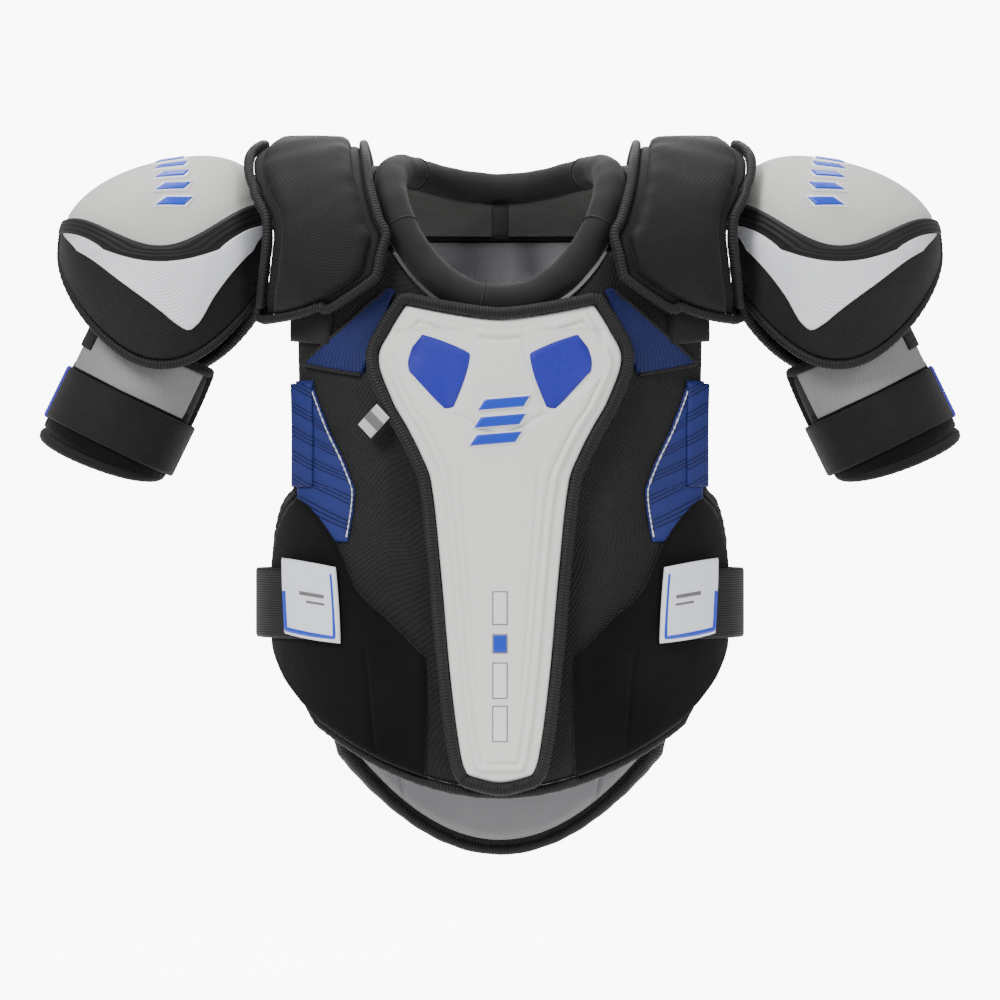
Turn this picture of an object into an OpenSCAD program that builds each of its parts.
// Ice hockey shoulder pads, worn size senior medium, in millimetres.
// The origin is the middle of the neck opening at the level of its front edge.
// +Z is up, the chest faces -Y, and the wearer's left side is at +X.

/* [Torso form] */
// Half width of the form that the pads wrap, at the waist
form_half_w = 180; // [178:1:184]
// Half depth of that form, at the chest
form_half_d = 98; // [94:1:102]
// Half width of the form at the shoulders, where it is flatter
shoulder_half_w = 250; // [240:1:260]
// Height of the top of the shoulder form above the origin
shoulder_h = 102; // [98:1:104]

/* [Padding] */
// Thickness of the chest and back foam
foam_t = 12; // [8:1:12]
// Thickness of the fabric panels sewn on the foam
panel_t = 2.2; // [1.5:0.1:2.2]
// Thickness of the moulded sternum plate
plate_t = 6; // [4:0.5:8]
// Radius of the neck roll
collar_r = 13; // [11:0.5:13]
// Half width of the binding tape round an edge
tape_r = 4.5; // [3.5:0.1:4.6]

/* [Shoulder cap] */
// Distance of the cap's middle from the centre plane
cap_x = 270; // [268:1:272]
// Half width of the cap across the wearer
cap_half_w = 84; // [82:1:85]
// Half depth of the cap, front to back
cap_half_d = 82; // [78:1:84]
// Height of the cap's dome above its widest level
cap_dome_h = 72; // [68:1:74]

/* [Arm guard] */
// Inner radius of the biceps guard round the arm
guard_r = 47; // [45:1:48]
// Outward lean of the upper arm
arm_lean = 26; // [24:0.5:28]
// Width of the elastic that closes the guard
arm_strap_w = 44; // [40:1:46]

/* [Side strap] */
// Width of the elastic side strap
side_strap_w = 56; // [50:1:60]

/* [Hidden] */

// Roundness of the form's plan section: 2 is an ellipse, more is squarer
wrap_power = 2.3;
// Length of the path over a shoulder, from the chest to the back
arc_len = 306;
// The neck opening on the form: half width, middle and half length along the path
neck_half_w = 88;
neck_mid_s = 105;
neck_half_s = 108;
// Air left between neighbouring layers
gap = 0.8;
panel_in = foam_t + gap;
panel_out = panel_in + panel_t;
plate_in = panel_out + gap;
plate_out = plate_in + plate_t;
cap_mid_z = 40;
black = [0.07, 0.07, 0.075];
blue = [0.12, 0.16, 0.5];
white = [0.88, 0.89, 0.87];
grey = [0.55, 0.55, 0.56];

// ---------- helpers ----------
function lerp(a, b, t) = a + (b - a) * t;
function clamp(t) = min(1, max(0, t));
function smooth(t) = let (u = clamp(t)) u * u * (3 - 2 * u);
function unit(v) = v / norm(v);
function side(x) = x < 0 ? -1 : 1;
// A unit square's point, moved so that the square gets round corners; c is 0 to 1
function eased(u, v, c) = let (p = 2 * u - 1, q = 2 * v - 1)
    [(p * sqrt(1 - c * q * q / 2) + 1) / 2, (q * sqrt(1 - c * p * p / 2) + 1) / 2];

// ---------- the torso form ----------
// s runs up the chest, over the shoulder and down the back; s is 0 at the neck's front edge
function path_turn(s) = 180 * clamp(s / arc_len);
function path_z(s) = s < 0 ? s : s > arc_len ? arc_len - s
    : shoulder_h * pow(sin(path_turn(s)), path_turn(s) > 90 ? 0.5 : 1);
form_width = [[-460, 162], [-300, 178], [-235, form_half_w], [-150, 168], [-60, 172], [0, 184], [80, shoulder_half_w]];
function form_a(s) = lookup(min(s, arc_len - s), form_width);
function form(x, s) = [x,
    -form_half_d * cos(path_turn(s)) * sqrt(max(0, 1 - pow(abs(x) / form_a(s), wrap_power))),
    path_z(s)];
function form_normal(x, s) = let (e = 0.5)
    unit(cross(form(x + e, s) - form(x - e, s), form(x, s + e) - form(x, s - e)));
function on_form(x, s, t) = form(x, s) + t * form_normal(x, s);
// The turn round the form at a distance x from the centre plane, and back
function turn_at(x, s) = side(x) * asin(pow(min(1, abs(x) / form_a(s)), wrap_power / 2));
function x_at(turn, s) = side(turn) * form_a(s) * pow(sin(abs(turn)), 2 / wrap_power);
// A point between two edges of a panel, spaced evenly round the form
function across(x0, x1, s, u) = x_at(lerp(turn_at(x0, s), turn_at(x1, s), u), s);
// The waist of the form as a ring, which also passes the sides
function waist(turn, z) = [form_half_w * pow(sin(turn), 2 / wrap_power), -form_half_d * cos(turn), z];
function on_waist(turn, z, t) = let (e = 0.5, d = waist(turn + e, z) - waist(turn - e, z))
    waist(turn, z) + t * unit([-d.y, d.x, 0]) * -1;

// ---------- closed solids ----------
function halves(a, b, c, d) = [[a, b, c], [a, c, d]];

// A sheet of nu by nv cells between depths t_in and t_out; place(u, v, t) gives its points
module quilt(place, nu, nv, t_in, t_out) {
    layer = (nu + 1) * (nv + 1);
    points = [for (t = [t_in, t_out]) for (j = [0:nv]) for (i = [0:nu]) place(i / nu, j / nv, t)];
    function id(k, j, i) = k * layer + j * (nu + 1) + i;
    faces = [
        for (j = [0:nv - 1]) for (i = [0:nu - 1])
            each halves(id(1, j, i), id(1, j + 1, i), id(1, j + 1, i + 1), id(1, j, i + 1)),
        for (j = [0:nv - 1]) for (i = [0:nu - 1])
            each halves(id(0, j, i), id(0, j, i + 1), id(0, j + 1, i + 1), id(0, j + 1, i)),
        for (i = [0:nu - 1]) each halves(id(1, 0, i), id(1, 0, i + 1), id(0, 0, i + 1), id(0, 0, i)),
        for (i = [0:nu - 1]) each halves(id(1, nv, i + 1), id(1, nv, i), id(0, nv, i), id(0, nv, i + 1)),
        for (j = [0:nv - 1]) each halves(id(1, j + 1, 0), id(1, j, 0), id(0, j, 0), id(0, j + 1, 0)),
        for (j = [0:nv - 1]) each halves(id(1, j, nu), id(1, j + 1, nu), id(0, j + 1, nu), id(0, j, nu))
    ];
    polyhedron(points, faces);
}

// A rod of oval section through points; ups are the directions of its half height
module rod(points, ups, half_w, half_h, sides, closed) {
    n = len(points);
    function at(i) = closed ? points[(i + n) % n] : points[min(n - 1, max(0, i))];
    rings = [for (i = [0:n - 1]) let (
            along = unit(at(i + 1) - at(i - 1)),
            across = unit(cross(along, ups[i])),
            up = cross(across, along))
        for (k = [0:sides - 1]) let (a = 360 * k / sides)
            points[i] + across * half_w * cos(a) + up * half_h * sin(a)];
    last = closed ? n - 1 : n - 2;
    walls = [for (i = [0:last]) for (k = [0:sides - 1]) let (
            a = i * sides + k, b = i * sides + (k + 1) % sides,
            c = ((i + 1) % n) * sides + (k + 1) % sides, d = ((i + 1) % n) * sides + k)
        each halves(a, b, c, d)];
    ends = closed ? [] : [
        [for (k = [sides - 1:-1:0]) k],
        [for (k = [0:sides - 1]) (n - 1) * sides + k]];
    polyhedron(rings, concat(walls, ends));
}

// Points round the edge of a unit square, n on each side
function rim(n) = [
    for (i = [0:n - 1]) [i / n, 0], for (i = [0:n - 1]) [1, i / n],
    for (i = [0:n - 1]) [1 - i / n, 1], for (i = [0:n - 1]) [0, 1 - i / n]];

// Binding tape round part of a sheet's edge, lying just outside it
module tape(place, uvs, t, closed, reach = tape_r, high = tape_r) {
    n = len(uvs);
    mids = [for (p = uvs) place(p.x, p.y, t)];
    ups = [for (p = uvs) unit(place(p.x, p.y, t + 1) - place(p.x, p.y, t))];
    function at(i) = closed ? mids[(i + n) % n] : mids[min(n - 1, max(0, i))];
    pushed = [for (i = [0:n - 1])
        mids[i] + (reach + 0.6) * unit(cross(unit(at(i + 1) - at(i - 1)), ups[i]))];
    rod(pushed, ups, reach, high, 6, closed);
}

module mirrored(on) {
    if (on) mirror([1, 0, 0]) children();
    else children();
}

module both_sides() {
    children();
    mirror([1, 0, 0]) children();
}

// ---------- chest ----------
front_edge = [[-334, 138], [-320, 150], [-294, 166], [-272, 172], [-216, 172], [-200, 170],
              [-181, 165], [-158, 154], [-110, 154], [-66, 155], [-30, 156], [0, 153], [36, 146]];
function front_bottom(x) = -388 + 54 * pow(abs(x) / 138, 2);
function neck_edge(x, d) = neck_mid_s - (neck_half_s + d) * sqrt(1 - pow(min(1, abs(x) / (neck_half_w + d)), 2));
function front_top(x) = min(36, neck_edge(x, 15));
function front_place(inset) = function (u, v, t) let (
    s0 = lerp(-334, 36, v),
    edge = lookup(s0, front_edge) - inset,
    x = across(-edge, edge, s0, u),
    s = lerp(front_bottom(x) + inset, front_top(x) - inset, v)) on_form(x, s, t);

module front_foam_pad() { color(black) quilt(front_place(0), 16, 17, 0, foam_t); }
module front_liner() { color(blue) quilt(front_place(7), 14, 12, -3, -gap); }

module front_hem_binding() {
    color(black) tape(front_place(0),
        [for (i = [0:10]) [0, 0.5 - 0.05 * i], for (i = [1:17]) [i / 18, 0], for (i = [0:10]) [1, 0.05 * i]],
        5.5, false, 4, 5);
}

// Half width of the sternum plate against height: a broad head, a waist and a long stem
plate_edge = [[-383, 18], [-375, 26], [-363, 30], [-297, 38], [-197, 46], [-140, 52], [-120, 60],
              [-102, 70], [-85, 81], [-54, 92], [-30, 84], [0, 70]];
function plate_top(x) = -18 + 18 * pow(abs(x) / 70, 1.6);
function plate_place(inset) = function (u, v, t) let (
    r = eased(u, v, 0.12),
    s0 = lerp(-383, 0, r.y),
    edge = lookup(s0, plate_edge) - inset,
    x = lerp(-edge, edge, r.x),
    s = lerp(-383 + inset, plate_top(x) - inset, r.y)) on_form(x, s, t);
module sternum_plate() { color(white) quilt(plate_place(0), 8, 24, plate_in, plate_out); }
module sternum_binding() {
    color(black) tape(plate_place(0), rim(20), plate_in + 4.9, true, 4.6, 4.7);
}
// Corners of a blue window, as a lower and an upper edge from the middle outwards
window_low = [[34, -90], [41, -90], [70, -57]];
window_high = [[18, -43], [58, -28], [67, -40]];
function along(path, u) = let (f = clamp(u) * 2, i = min(1, floor(f))) lerp(path[i], path[i + 1], f - i);
function window_place() = function (u, v, t) let (
    r = eased(u, v, 0.15),
    p = lerp(along(window_low, r.x), along(window_high, r.x), r.y)) on_form(p.x, p.y, t);
module sternum_inserts() {
    color(blue) both_sides() quilt(window_place(), 6, 5, plate_out + gap, plate_out + gap + 1);
}
module reflective_tag() {
    color(white) quilt(function (u, v, t) on_form(-lerp(80, 92, u) - 10 * v, lerp(-92, -82, v) - 17 * u, t),
        3, 2, plate_in + 10.2, plate_in + 11.4);
}

function chest_place() = function (u, v, t) let (
    r = eased(u, v, 0.15),
    low = lerp([104, -61], [150, -52], r.x), high = lerp([82, 4], [88, 6], r.x),
    p = lerp(low, high, r.y)) on_form(p.x, p.y, t);
module chest_panels() {
    color(blue) both_sides() quilt(chest_place(), 6, 6, panel_in, panel_out);
}

// The brushed panels that the side straps grip, below the ribs
loop_top = [[54, -286], [84, -255], [108, -232], [121, -201], [126, -190], [138, -172], [148, -161], [154, -158]];
loop_foot = [[50, -383], [90, -366], [140, -334], [160, -316], [165, -304], [176, -280]];
function loop_outer(s) = lookup(s, front_edge) - 1.5;
function loop_place() = function (u, v, t) let (
    r = eased(u, v, 0.1),
    x0 = lerp(56, 174, r.x),
    x = min(x0, loop_outer(lerp(lookup(x0, loop_foot), lookup(x0, loop_top), r.y))),
    s = lerp(lookup(x0, loop_foot), lookup(min(x0, 152), loop_top), r.y)) on_form(x, s, t);
module loop_panels() {
    color(black) both_sides() quilt(loop_place(), 10, 8, panel_in + 1.4, panel_out + 1.2);
}

flag_inner = [[-196, 116], [-181, 113], [-155, 110], [-134, 116], [-104, 129], [-70, 141]];
function flag_place() = function (u, v, t) let (
    s = lerp(-192, -64, v)) on_form(lerp(lookup(s, flag_inner), lookup(s, front_edge) - 1.5, u), s, t);
module side_flags() {
    color(blue) both_sides() quilt(flag_place(), 4, 10, panel_in - 0.4, panel_in + 0.8);
}
module anchor_straps() {
    color(black) both_sides() quilt(function (u, v, t)
        on_form(lerp(136, 153, u), lerp(-34, -8, v) + 3 * u, t), 4, 4, panel_in - 0.4, panel_in + 1.4);
}

// ---------- back ----------
back_edge = [[-369, 126], [-338, 136], [-300, 148], [-240, 154], [-150, 150], [-60, 152], [36, 146]];
function back_bottom(x) = -452 + 83 * pow(abs(x) / 126, 2);
// The back's side of the form, turned to face the front so that one mirror puts it in place
function on_back(x, s, t) = let (p = on_form(x, arc_len - s, t)) [p.x, -p.y, p.z];
function back_place(inset) = function (u, v, t) let (
    s0 = lerp(-369, 36, v),
    edge = lookup(s0, back_edge) - inset,
    x = across(-edge, edge, s0, u),
    s = lerp(back_bottom(x) + inset, 36 - inset, v)) on_back(x, s, t);
module back_foam_pad() { color(black) mirror([0, 1, 0]) quilt(back_place(0), 16, 16, 0, foam_t); }
module back_liner() { color(grey) mirror([0, 1, 0]) quilt(back_place(7), 12, 10, -3, -gap); }
module back_hem_binding() {
    color(black) mirror([0, 1, 0]) tape(back_place(0),
        [for (i = [0:8]) [0, 0.32 - 0.04 * i], for (i = [1:17]) [i / 18, 0], for (i = [0:8]) [1, 0.04 * i]],
        5.5, false, 4, 5);
}
spine_edge = [[-350, 42], [-240, 52], [-110, 76], [-30, 104], [20, 92]];
function spine_place() = function (u, v, t) let (
    r = eased(u, v, 0.3), s = lerp(-350, 8, r.y), edge = lookup(s, spine_edge))
    on_back(lerp(-edge, edge, r.x), s, t);
module spine_plate() {
    color(grey) mirror([0, 1, 0]) quilt(spine_place(), 12, 18, panel_in + 1.4, panel_in + 1 + plate_t);
}

// ---------- shoulders and neck ----------
function neck_x(s, d) = (neck_half_w + d) * sqrt(max(0, 1 - pow((s - neck_mid_s) / (neck_half_s + d), 2)));
function yoke_place() = function (u, v, t) let (
    s = lerp(37.5, arc_len - 37.5, v),
    inner = max(1, neck_x(s, 15)),
    outer = lerp(146, 158, sin(180 * v)))
    on_form(lerp(inner, outer, u), s, t);
module yoke(right) { color(black) mirrored(right) quilt(yoke_place(), 7, 18, 0, 11); }

// The neck roll's line: turn is 0 at the throat and 180 at the nape
function neck_point(turn) = on_form(neck_half_w * sin(turn), neck_mid_s - neck_half_s * cos(turn), 7);
function neck_up(turn) = form_normal(neck_half_w * sin(turn), neck_mid_s - neck_half_s * cos(turn));
module neck_roll(from, to, n) {
    turns = [for (i = [0:n]) lerp(from, to, i / n)];
    color(black) rod([for (a = turns) neck_point(a)], [for (a = turns) neck_up(a)],
        collar_r, collar_r, 10, false);
}
module collar_front() { neck_roll(-127, 127, 34); }
module collar_back() { neck_roll(129, 231, 14); }

// A webbing loop under the nape, on the inside
module hang_loop() {
    nape = neck_point(180);
    color(black) translate([0, nape.y - 6, nape.z - 28])
        rotate([0, 90, 0]) linear_extrude(14, center = true) difference() {
            hull() { translate([-10, 0]) circle(4.6, $fn = 24); translate([9, 0]) circle(4.6, $fn = 24); }
            hull() { translate([-10, 0]) circle(3.2, $fn = 24); translate([9, 0]) circle(3.2, $fn = 24); }
        }
}

// ---------- side straps ----------
strap_z = -243;
strap_peel_turn = 84;
module waist_band(from, to, n, t_in, t_out, high) {
    quilt(function (u, v, t) on_waist(lerp(from, to, u), strap_z + high * (v - 0.5), t), n, 2, t_in, t_out);
}
module side_webs() {
    color(black) both_sides() waist_band(strap_peel_turn + 1.2, 130, 8, 17.2, 19.2, side_strap_w);
}
module side_strap(right) {
    color(black) mirrored(right) waist_band(40, strap_peel_turn, 9, 17.2, 19.2, side_strap_w);
}
module side_tab(right) {
    color(white) mirrored(right)
        waist_band(38.5, 61, 5, 20, 22, side_strap_w + 6);
}

// The hooked patches where the webs are sewn to the back panel
module hook_patches() {
    color(black) both_sides() waist_band(121, 134, 3, foam_t + gap, 16.4, side_strap_w + 8);
}

// ---------- collarbone flaps ----------
flap_in = 23;
flap_out = 32;
flap_inner = [[-16, 94], [15, 91], [27, 89], [40, 95], [86, 108], [153, 115], [220, 110], [262, 104]];
flap_outer = [[-16, 168], [2, 171], [44, 170], [60, 173], [73, 181], [90, 191], [113, 195], [150, 188],
              [190, 192], [220, 186], [262, 172]];
function flap_place() = function (u, v, t) let (
    r = eased(u, v, 0.12),
    s0 = lerp(-12, 262, r.y),
    x = lerp(lookup(s0, flap_inner), lookup(s0, flap_outer), r.x),
    s = s0 + (26 * (1 - r.x) * (1 - r.x * 0.4)) * pow(1 - r.y, 5)) on_form(x, s, t);
module flap_pad(right) { color(black) mirrored(right) quilt(flap_place(), 7, 22, flap_in, flap_out); }
module flap_binding(right) {
    color(black) mirrored(right) tape(flap_place(), rim(14), flap_in + 4.4, true, 4.2, 4.2);
}

// ---------- shoulder caps ----------
// turn is -90 at the front and 0 at the outer side; h is degrees above the widest level, or millimetres below
cap_power = 2.5;
cap_tilt = 0.2;
function cap_form(turn, h) = let (
    q = 2 / cap_power,
    r = h > 0 ? pow(cos(h), q) : 1 - 0.2 * pow(h / 90, 2),
    up = h > 0 ? pow(sin(h), q) : 0,
    x = cap_half_w * r * side(cos(turn)) * pow(abs(cos(turn)), 0.92),
    z = h > 0 ? cap_mid_z + cap_dome_h * up - cap_tilt * x * up : cap_mid_z + h)
    [cap_x + x, cap_half_d * r * side(sin(turn)) * pow(abs(sin(turn)), 0.92), z];
function cap_normal(turn, h) = h > 88 ? [0, 0, 1] : let (e = 0.5)
    unit(cross(cap_form(turn + e, h) - cap_form(turn - e, h), cap_form(turn, h + e) - cap_form(turn, h - e)));
function on_cap(turn, h, t) = cap_form(turn, h) + t * cap_normal(turn, h);
function cap_rim(turn) = 6 - 93 * pow(abs(sin(turn)), 1.45);
function cap_line(turn) = 18 - 20 * pow(abs(sin(turn)), 5);

// A dome from its pole down to an edge, closed all round
module dome(edge, around, down, t_in, t_out) {
    layer = around * (down + 1);
    points = [for (t = [t_in, t_out]) for (j = [0:down]) for (i = [0:around - 1])
        let (turn = 360 * i / around) on_cap(turn, lerp(87, edge(turn), j / down), t)];
    function id(k, j, i) = k * layer + j * around + i % around;
    faces = [
        for (j = [0:down - 1]) for (i = [0:around - 1])
            each halves(id(1, j + 1, i), id(1, j, i), id(1, j, i + 1), id(1, j + 1, i + 1)),
        for (j = [0:down - 1]) for (i = [0:around - 1])
            each halves(id(0, j + 1, i), id(0, j + 1, i + 1), id(0, j, i + 1), id(0, j, i)),
        for (i = [0:around - 1])
            each halves(id(1, down, i), id(1, down, i + 1), id(0, down, i + 1), id(0, down, i)),
        [for (i = [around - 1:-1:0]) id(1, 0, i)],
        [for (i = [0:around - 1]) id(0, 0, i)]
    ];
    polyhedron(points, faces);
}

module cap_shell(right) {
    color(white) mirrored(right) dome(function (turn) 12 - 40 * pow(abs(sin(turn)), 2), 24, 5, -4, -gap);
}
module cap_cover(right) {
    color(grey) mirrored(right) dome(function (turn) cap_line(turn) + 1, 28, 6, 0, 5);
}
function lobe_place(facing) = function (u, v, t) let (
    turn = facing < 0 ? lerp(-152, -9, u) : lerp(9, 152, u))
    on_cap(turn, lerp(cap_rim(turn), cap_line(turn) - 0.6, v), t);
module cap_lobe(facing, right) {
    color(black) mirrored(right) quilt(lobe_place(facing), 12, 6, 0, 5);
}
function band_place() = function (u, v, t) let (
    turn = lerp(-172, 172, u)) on_cap(turn, cap_line(turn) + lerp(-7, 2.5, v), t);
module cap_band(right) { color(black) mirrored(right) quilt(band_place(), 34, 2, 5.8, 7.4); }
// The white chevron: its upper edge follows the band and its lower edge runs to a point
accent_low = [[-158, 9], [-141, -2], [-128, -16], [-117, -37], [-109, -58], [-104, -63], [-98, -59], [-86, -43],
              [-73, -28], [-54, -9], [-42, -2], [-26, 8]];
function accent_place() = function (u, v, t) let (
    turn = lerp(-158, -26, u))
    on_cap(turn, lerp(min(lookup(turn, accent_low), cap_line(turn) - 9.5), cap_line(turn) - 8, v), t);
module cap_accent(right) { color(white) mirrored(right) quilt(accent_place(), 22, 3, 5.8, 6.8); }
module cap_binding(right) {
    color(black) mirrored(right) for (facing = [-1, 1])
        tape(lobe_place(facing), [for (i = [0:14]) [i / 14, 0], for (i = [0:4]) [1, 0.06 + i * 0.2]],
            2.5, false, 3.6, 4);
}
// Elastic web from the shoulder out to the cap
module cap_strap(right) {
    color(black) mirrored(right) quilt(function (u, v, t)
        [lerp(160, 178, u), lerp(-26, 26, v), 104 - 8 * u + t], 4, 3, 0, 2.5);
}

// ---------- arm guards ----------
arm_top = [275, 0, -24];
arm_down = [sin(arm_lean), 0, -cos(arm_lean)];
arm_out = [cos(arm_lean), 0, sin(arm_lean)];
// turn is -90 at the front and 0 at the outer side, l is the distance down the arm
function on_arm(turn, l, t) = arm_top + arm_down * l
    + (guard_r + t) * (arm_out * cos(turn) + [0, 1, 0] * sin(turn));
function guard_place(inset) = function (u, v, t) let (
    r = eased(u, v, 0.28),
    turn = lerp(-172, 58, r.x),
    top = 12 + 6 * cos(turn + 60),
    foot = 118 - 12 * pow(abs(turn + 60) / 110, 2))
    on_arm(lerp(-57, turn, 1 - inset / 90), lerp(foot - inset, top + inset, r.y), t);
module biceps_pad(right) { color(black) mirrored(right) quilt(guard_place(0), 16, 6, 0, 6); }
module biceps_liner(right) { color(blue) mirrored(right) quilt(guard_place(5), 12, 5, -2.4, -gap); }
module biceps_face(right) {
    color(grey) mirrored(right) quilt(function (u, v, t)
        on_arm(lerp(-140, -18, u), lerp(55, 20, v), t), 8, 3, 6.8, 7.8);
}
module biceps_hanger(right) {
    color(black) mirrored(right) quilt(function (u, v, t)
        on_arm(lerp(-22, 22, u), lerp(12.5, -8, v), t), 4, 3, 0, 2.2);
}
arm_strap_l = 58;
module arm_band(from, to, n, t_in, t_out) {
    quilt(function (u, v, t) on_arm(lerp(from, to, u), arm_strap_l + arm_strap_w * (1 - v), t),
        n, 2, t_in, t_out);
}
// The fixed part of the elastic, behind the arm
module biceps_web(right) { color(black) mirrored(right) arm_band(62, 181, 9, 8.4, 10.4); }
// The part that peels off the guard's front
module biceps_strap(right) { color(black) mirrored(right) arm_band(-177, -6, 14, 8.4, 10.4); }

front_foam_pad();
front_liner();
sternum_plate();
sternum_binding();
sternum_inserts();
reflective_tag();
chest_panels();
loop_panels();
side_flags();
front_hem_binding();
back_foam_pad();
back_liner();
spine_plate();
back_hem_binding();
yoke(false);  // yoke_left
yoke(true);  // yoke_right
collar_front();
collar_back();
hang_loop();
anchor_straps();
side_webs();
hook_patches();
flap_pad(false);  // flap_pad_left
flap_pad(true);  // flap_pad_right
flap_binding(false);  // flap_binding_left
flap_binding(true);  // flap_binding_right
cap_shell(false);  // cap_shell_left
cap_shell(true);  // cap_shell_right
cap_cover(false);  // cap_cover_left
cap_cover(true);  // cap_cover_right
cap_lobe(-1, false);  // cap_lobe_front_left
cap_lobe(-1, true);  // cap_lobe_front_right
cap_lobe(1, false);  // cap_lobe_back_left
cap_lobe(1, true);  // cap_lobe_back_right
cap_band(false);  // cap_band_left
cap_band(true);  // cap_band_right
cap_accent(false);  // cap_accent_left
cap_accent(true);  // cap_accent_right
cap_binding(false);  // cap_binding_left
cap_binding(true);  // cap_binding_right
cap_strap(false);  // cap_strap_left
cap_strap(true);  // cap_strap_right
biceps_pad(false);  // biceps_pad_left
biceps_pad(true);  // biceps_pad_right
biceps_liner(false);  // biceps_liner_left
biceps_liner(true);  // biceps_liner_right
biceps_face(false);  // biceps_face_left
biceps_face(true);  // biceps_face_right
biceps_hanger(false);  // biceps_hanger_left
biceps_hanger(true);  // biceps_hanger_right
biceps_web(false);  // biceps_web_left
biceps_web(true);  // biceps_web_right
biceps_strap(false);  // biceps_strap_left
biceps_strap(true);  // biceps_strap_right
side_strap(false);  // side_strap_left
side_strap(true);  // side_strap_right
side_tab(false);  // side_tab_left
side_tab(true);  // side_tab_right
